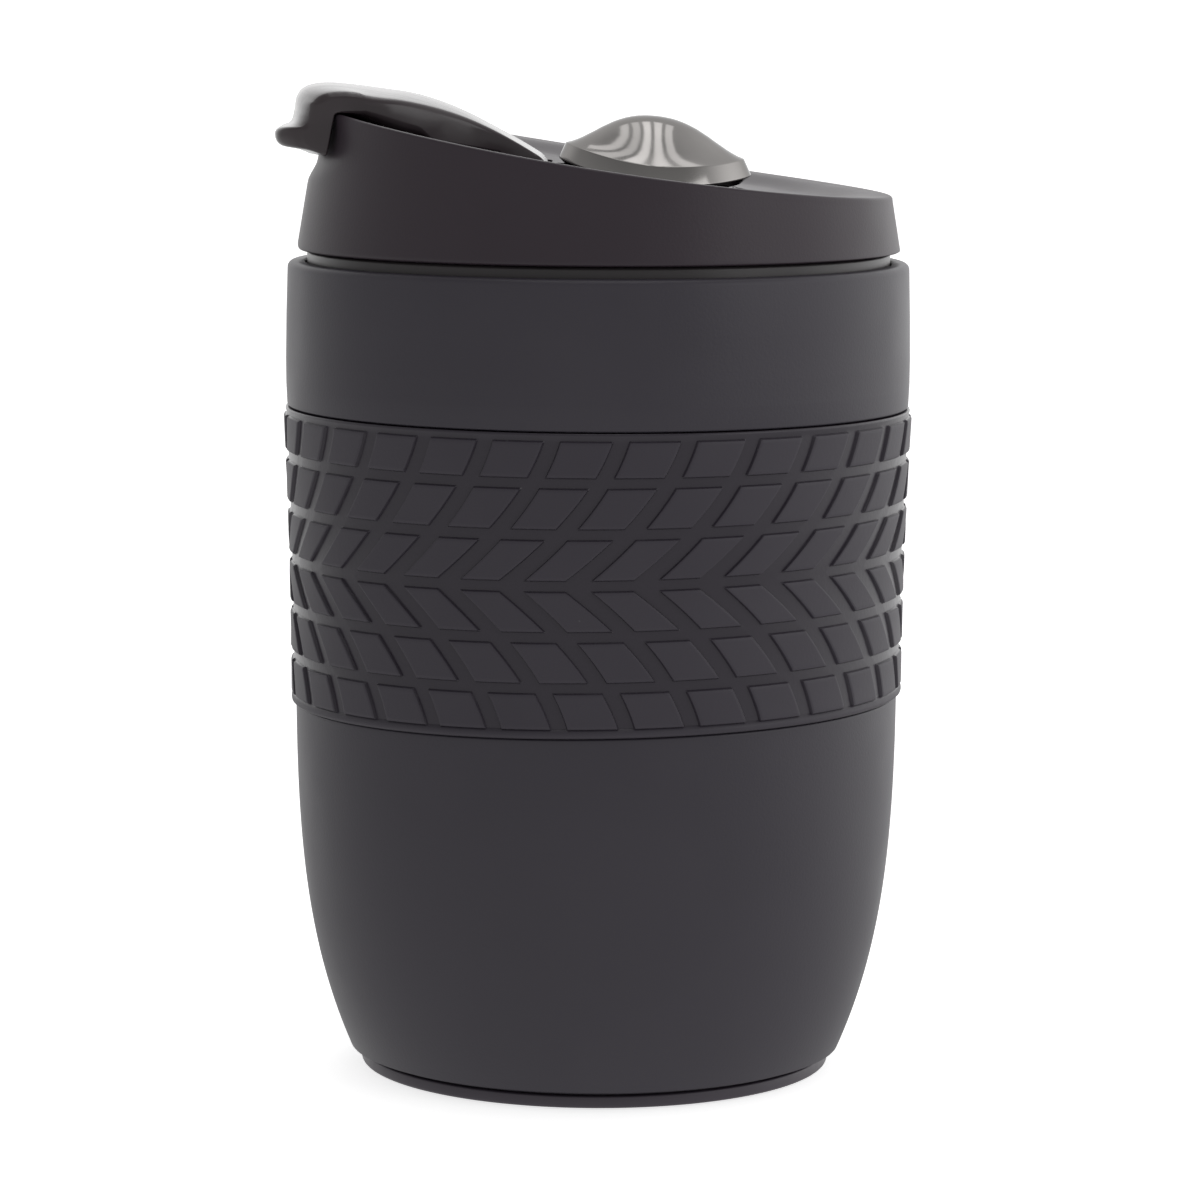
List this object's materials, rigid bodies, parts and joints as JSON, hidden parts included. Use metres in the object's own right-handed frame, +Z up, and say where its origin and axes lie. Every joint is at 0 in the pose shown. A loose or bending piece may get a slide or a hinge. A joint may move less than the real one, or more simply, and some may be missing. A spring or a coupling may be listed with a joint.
{
  "type": "travel mug",
  "caption": "Double-wall travel mug with a tyre-tread grip sleeve, push-in lid with a sloping top, flip lever over the drinking slot and a domed vent button.",
  "frame": {"origin": "centre of the anti-slip pad's flat underside, on the cup's axis", "axes": "+Z up along the cup's axis, -X towards the lever's thumb tab, Y across the lever along its hinge"},
  "size_m": [0.0893, 0.089, 0.1394],
  "materials": {
    "soft_touch_shell": "matte soft-touch charcoal",
    "lid_plastic": "fine matte moulded charcoal",
    "grip_rubber": "matte silicone rubber, near black",
    "lever_plastic": "satin dark grey plastic",
    "polished_dome": "polished dark metal",
    "collar_black": "semi-gloss black plastic",
    "base_plastic": "satin black plastic",
    "liner_steel": "brushed stainless steel",
    "polished_steel": "polished steel",
    "spring_steel": "drawn spring wire",
    "silicone_grey": "soft matte silicone",
    "pad_rubber": "matte rubber"
  },
  "bodies": {
    "cup": {"base_pad": "pad_rubber", "base_cap": "base_plastic", "outer_shell": "soft_touch_shell", "inner_liner": "liner_steel", "neck_ring": "collar_black", "grip_sleeve": "grip_rubber"},
    "lid": {"lid_shell": "lid_plastic", "lid_plug": "lid_plastic", "lid_seal": "silicone_grey", "hinge_pin": "polished_steel", "button_spring": "spring_steel"},
    "lever": {"flip_lever": "lever_plastic", "spout_stopper": "silicone_grey"},
    "button": {"button_cap": "polished_dome", "button_plunger": "polished_steel", "button_stem": "polished_steel", "vent_seal": "silicone_grey", "stem_clip": "polished_steel"}
  },
  "joints": [
    {"name": "lid_lift", "type": "slide", "parent": "cup", "child": "lid", "axis": [0, 0, 1], "range_m": [0, 0.06]},
    {"name": "lever_flip", "type": "hinge", "parent": "lid", "child": "lever", "pos_m": [-0.0102, 0, 0.1268], "axis": [0, 1, 0], "range_deg": [0, 65]},
    {"name": "button_press", "type": "slide", "parent": "lid", "child": "button", "axis": [0, 0, 1], "range_m": [-0.0012, 0], "stiffness_N_per_m": 400, "springref_m": 0.0015, "deforming": ["button_spring"]}
  ]
}
